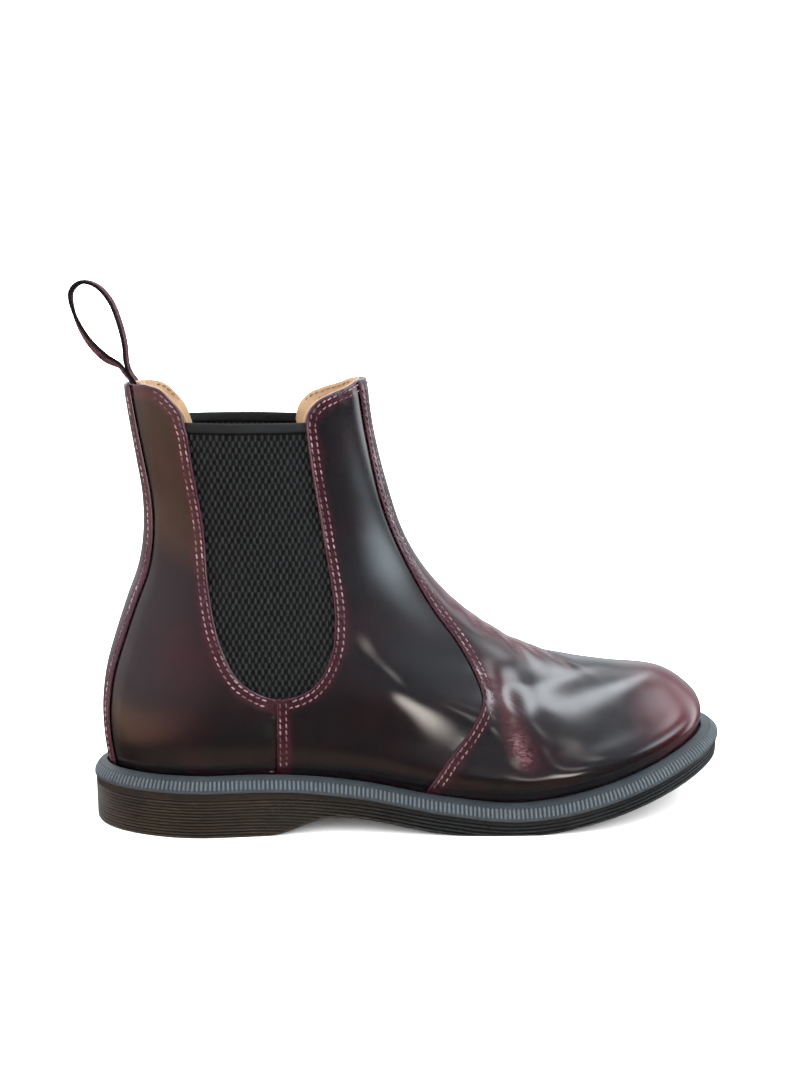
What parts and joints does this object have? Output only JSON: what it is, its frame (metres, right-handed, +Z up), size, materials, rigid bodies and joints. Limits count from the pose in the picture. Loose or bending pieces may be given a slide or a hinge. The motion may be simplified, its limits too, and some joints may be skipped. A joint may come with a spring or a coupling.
{
  "type": "chelsea boot",
  "caption": "Ankle-high right boot with elastic side panels, a leather upper over burgundy, a webbing pull loop at the back and a welted low-heeled rubber sole.",
  "frame": {"origin": "middle of the heel's ground face", "axes": "+X from heel to toe, +Y to the inner (medial) side of the foot, +Z up"},
  "size_m": [0.2858, 0.1014, 0.2311],
  "materials": {
    "upper_leather": "polished two-tone, near-black brushed off over burgundy",
    "lining_leather": "natural tan, matt",
    "elastic": "black woven elastic with raised cells",
    "elastic_tape": "smooth black tape",
    "webbing": "mottled burgundy and black woven webbing",
    "welt_rubber": "dark grey, ribbed edge",
    "sole_rubber": "satin, brown-black",
    "fibre_board": "matt fibre board",
    "canvas": "matt canvas",
    "cork": "granular cork",
    "steel": "plain rolled steel",
    "foam": "matt foam",
    "stiffener": "pressed fibre, matt"
  },
  "bodies": {
    "boot": {"outsole": "sole_rubber", "welt": "welt_rubber", "insole_rib": "canvas", "filler": "cork", "shank": "steel", "insole_board": "fibre_board", "heel_pad": "foam", "sock_liner": "lining_leather", "toe_puff": "stiffener", "heel_counter": "stiffener", "vamp": "upper_leather", "backstay": "upper_leather", "front_quarter_lateral": "upper_leather", "back_quarter_lateral": "upper_leather", "gore_lateral": "elastic", "gore_binding_lateral": "elastic_tape", "front_quarter_medial": "upper_leather", "back_quarter_medial": "upper_leather", "gore_medial": "elastic", "gore_binding_medial": "elastic_tape", "vamp_lining": "lining_leather", "front_lining": "lining_leather", "back_lining": "lining_leather", "loop_anchor": "webbing"},
    "loop": {"pull_loop": "webbing"}
  },
  "joints": [
    {"name": "pull_loop_hinge", "type": "hinge", "parent": "boot", "child": "loop", "pos_m": [-0.02, 0, 0.1904], "axis": [0, 1, 0], "range_deg": [-60, 70], "stiffness_Nm_per_rad": 0.01}
  ]
}
